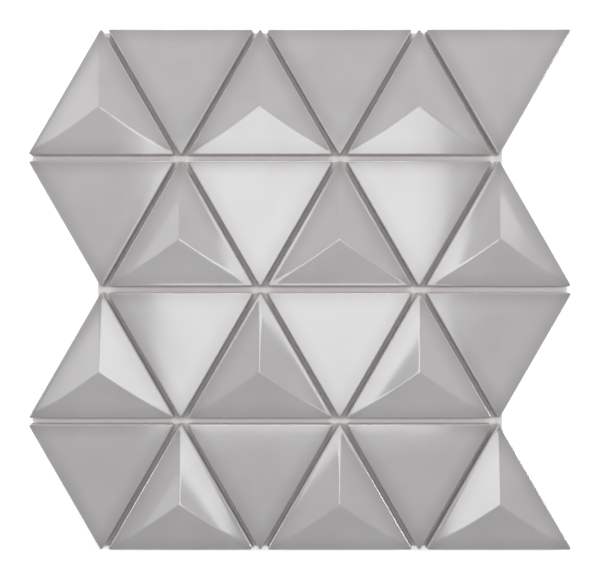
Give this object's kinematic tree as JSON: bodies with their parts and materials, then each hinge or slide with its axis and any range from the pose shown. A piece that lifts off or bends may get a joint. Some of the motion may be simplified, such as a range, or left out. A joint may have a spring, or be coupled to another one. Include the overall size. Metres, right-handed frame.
{
  "type": "triangular mosaic tile sheet",
  "caption": "Sheet of glossy triangular ceramic mosaic tiles, flat ones alternating with raised three-facet ones, glued on a thin backing sheet for tiling a wall.",
  "frame": {"origin": "middle of the sheet's underside, on the surface that the sheet lies or is stuck on", "axes": "+Z out of the glazed faces, +Y up the sheet, with the raised tiles' apexes towards it, +X across the sheet to the right"},
  "size_m": [0.298, 0.2864, 0.0111],
  "materials": {
    "raised_glaze": "glossy grey glaze over a pale body",
    "flat_glaze": "glossy grey glaze over a pale body",
    "backing": "thin off-white fibre sheet"
  },
  "bodies": {
    "root": {"backing_sheet": "backing", "raised_tile_row1_col1": "raised_glaze", "flat_tile_row1_col2": "flat_glaze", "raised_tile_row1_col3": "raised_glaze", "flat_tile_row1_col4": "flat_glaze", "raised_tile_row1_col5": "raised_glaze", "flat_tile_row1_col6": "flat_glaze", "flat_tile_row2_col1": "flat_glaze", "raised_tile_row2_col2": "raised_glaze", "flat_tile_row2_col3": "flat_glaze", "raised_tile_row2_col4": "raised_glaze", "flat_tile_row2_col5": "flat_glaze", "raised_tile_row2_col6": "raised_glaze", "raised_tile_row3_col1": "raised_glaze", "flat_tile_row3_col2": "flat_glaze", "raised_tile_row3_col3": "raised_glaze", "flat_tile_row3_col4": "flat_glaze", "raised_tile_row3_col5": "raised_glaze", "flat_tile_row3_col6": "flat_glaze", "flat_tile_row4_col1": "flat_glaze", "raised_tile_row4_col2": "raised_glaze", "flat_tile_row4_col3": "flat_glaze", "raised_tile_row4_col4": "raised_glaze", "flat_tile_row4_col5": "flat_glaze", "raised_tile_row4_col6": "raised_glaze"}
  },
  "joints": []
}
